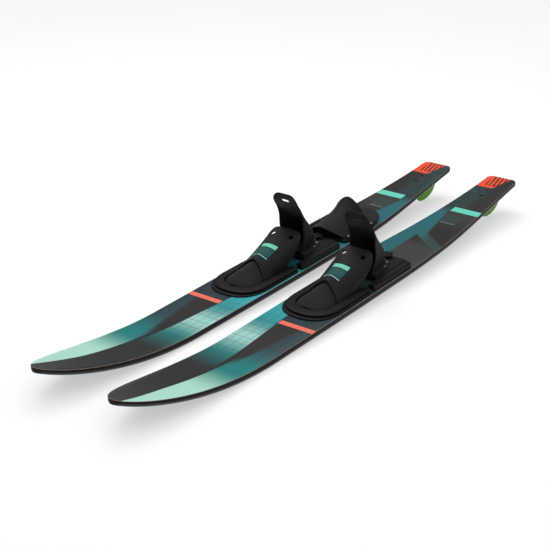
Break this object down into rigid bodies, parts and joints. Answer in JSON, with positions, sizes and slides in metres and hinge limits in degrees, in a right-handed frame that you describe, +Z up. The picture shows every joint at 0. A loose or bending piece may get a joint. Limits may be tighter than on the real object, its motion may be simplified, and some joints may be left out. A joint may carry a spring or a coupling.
{
  "type": "water ski pair",
  "caption": "Pair of combo water skis with upturned tips, tail fins, rubber toe pieces, sliding heel cuffs with lock levers and a rear toe strap on one ski.",
  "frame": {"origin": "midway between the two skis' centre lines, at half their length, at the height of the fins' lowest points", "axes": "+Z up from the base through the deck, +Y towards the tails, -Y towards the tips, +X towards the wearer's left ski"},
  "size_m": [0.382, 1.6994, 0.2502],
  "materials": {
    "core": "satin, dark sealed sidewall",
    "printed_deck": "clear gloss over a printed sheet",
    "base_laminate": "polished",
    "brass": "turned",
    "steel": "stainless",
    "black_steel": "blackened stainless",
    "fin": "moulded, satin gloss",
    "hard_plastic": "fine moulded grain",
    "rubber": "matte moulded",
    "upper_fabric": "coated knit",
    "foam": "closed-cell foam"
  },
  "bodies": {
    "right_ski": {"ski_core_right": "core", "top_sheet_right": "printed_deck", "base_sheet_right": "base_laminate", "threaded_inserts_right": "brass", "fin_right": "fin", "fin_inserts_right": "brass", "fin_screws_right": "steel", "toe_base_plate_right": "hard_plastic", "toe_footbed_right": "foam", "toe_box_right": "upper_fabric", "toe_strap_right": "rubber", "toe_clamp_ring_right": "hard_plastic", "ring_screws_right": "black_steel", "heel_rail_outer_right": "hard_plastic", "heel_rail_inner_right": "hard_plastic", "rail_screws_right": "black_steel", "size_rack_right": "steel", "rack_screws_right": "steel", "rear_toe_plate": "hard_plastic", "rear_toe_pad": "foam", "rear_toe_hood": "rubber", "rear_toe_tongue": "rubber", "rear_clamp_strips": "hard_plastic", "rear_toe_screws": "steel"},
    "left_ski": {"ski_core_left": "core", "top_sheet_left": "printed_deck", "base_sheet_left": "base_laminate", "threaded_inserts_left": "brass", "fin_left": "fin", "fin_inserts_left": "brass", "fin_screws_left": "steel", "toe_base_plate_left": "hard_plastic", "toe_footbed_left": "foam", "toe_box_left": "upper_fabric", "toe_strap_left": "rubber", "toe_clamp_ring_left": "hard_plastic", "ring_screws_left": "black_steel", "heel_rail_outer_left": "hard_plastic", "heel_rail_inner_left": "hard_plastic", "rail_screws_left": "black_steel", "size_rack_left": "steel", "rack_screws_left": "steel"},
    "right_heel": {"heel_slide_plate_right": "hard_plastic", "heel_pad_right": "foam", "heel_cuff_right": "rubber", "cuff_screws_right": "steel", "lever_pin_right": "steel", "lever_spring_right": "steel"},
    "right_lever": {"lock_lever_right": "hard_plastic"},
    "left_heel": {"heel_slide_plate_left": "hard_plastic", "heel_pad_left": "foam", "heel_cuff_left": "rubber", "cuff_screws_left": "steel", "lever_pin_left": "steel", "lever_spring_left": "steel"},
    "left_lever": {"lock_lever_left": "hard_plastic"}
  },
  "joints": [
    {"name": "ski_spacing", "type": "slide", "parent": "right_ski", "child": "left_ski", "axis": [1, 0, 0], "range_m": [0, 0.4]},
    {"name": "right_heel_slide", "type": "slide", "parent": "right_ski", "child": "right_heel", "axis": [0, 1, 0], "range_m": [-0.012, 0.012]},
    {"name": "right_lever_lift", "type": "hinge", "parent": "right_heel", "child": "right_lever", "pos_m": [-0.111, 0.1837, 0.08023], "axis": [1, 0, 0], "range_deg": [0, 20], "deforming": ["lever_spring_right"]},
    {"name": "left_heel_slide", "type": "slide", "parent": "left_ski", "child": "left_heel", "axis": [0, 1, 0], "range_m": [-0.012, 0.012]},
    {"name": "left_lever_lift", "type": "hinge", "parent": "left_heel", "child": "left_lever", "pos_m": [0.111, 0.1837, 0.08023], "axis": [1, 0, 0], "range_deg": [0, 20], "deforming": ["lever_spring_left"]}
  ]
}
